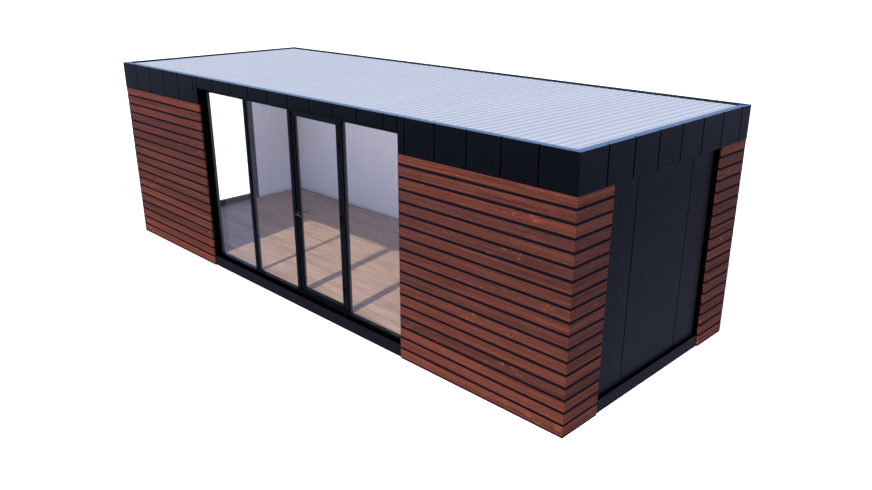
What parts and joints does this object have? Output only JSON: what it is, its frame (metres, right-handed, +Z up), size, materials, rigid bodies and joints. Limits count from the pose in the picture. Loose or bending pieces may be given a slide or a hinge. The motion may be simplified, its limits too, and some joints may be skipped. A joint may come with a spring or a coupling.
{
  "type": "garden office pod",
  "caption": "Flat-roofed garden office pod with slatted timber wings, a dark metal fascia, dark wall panels, a glazed front bay with a hinged door, and an empty room with a laminate floor.",
  "frame": {"origin": "on the ground, under the middle of the pod", "axes": "+X to the right along the front, +Y from the front to the rear, +Z up"},
  "size_m": [8, 3, 2.58],
  "materials": {
    "timber": "oiled reddish-brown boards with knots",
    "fascia": "satin anthracite",
    "wall_panel": "finely ribbed dark outside, pale lining inside",
    "plinth": "satin anthracite",
    "backing": "matt black",
    "beam": "matt black primer",
    "frame": "powder-coated anthracite",
    "glass": "clear double glazing",
    "floor": "light oak laminate",
    "lining": "pale matt lining",
    "roof": "pale ribbed sheet",
    "hardware": "dark satin steel"
  },
  "bodies": {
    "pod": {"base_beams_long": "beam", "base_beams_short": "beam", "plinth": "plinth", "floor_deck": "floor", "floor_laminate": "floor", "front_wall_left": "wall_panel", "front_wall_right": "wall_panel", "rear_wall": "wall_panel", "right_wall": "wall_panel", "left_wall_sides": "wall_panel", "left_wall_lintel": "wall_panel", "roof_beams_long": "beam", "roof_beams_short": "beam", "ceiling": "lining", "roof_sheet": "roof", "parapet_long": "fascia", "parapet_short": "fascia", "wing_rails": "fascia", "fascia_front_left": "fascia", "fascia_front_middle": "fascia", "fascia_front_right": "fascia", "fascia_right": "fascia", "fascia_left": "fascia", "fascia_rear": "fascia", "cladding_front": "timber", "cladding_right": "timber", "cladding_left": "timber", "cladding_rear": "timber", "backing_long": "backing", "backing_short": "backing", "bay_trims": "backing", "recess_trims": "backing", "frame_jambs": "frame", "frame_rails": "frame", "mullions": "frame", "fixed_glass": "glass", "window_jambs": "frame", "window_rails": "frame", "window_glass": "glass", "hinge_pins": "hardware"},
    "door": {"door_stiles": "frame", "door_rails": "frame", "door_glass": "glass", "door_hinges": "hardware", "door_roses": "hardware"},
    "lever": {"lever_spindle": "hardware", "lever_outside": "hardware", "lever_inside": "hardware"}
  },
  "joints": [
    {"name": "door_hinge", "type": "hinge", "parent": "pod", "child": "door", "pos_m": [0.8575, -1.412, 1.2725], "axis": [0, 0, 1], "range_deg": [0, 95]},
    {"name": "lever_press", "type": "hinge", "parent": "door", "child": "lever", "pos_m": [0.02, -1.37, 1.16], "axis": [0, 1, 0], "range_deg": [0, 40], "stiffness_Nm_per_rad": 2, "springref_deg": -20.05}
  ]
}
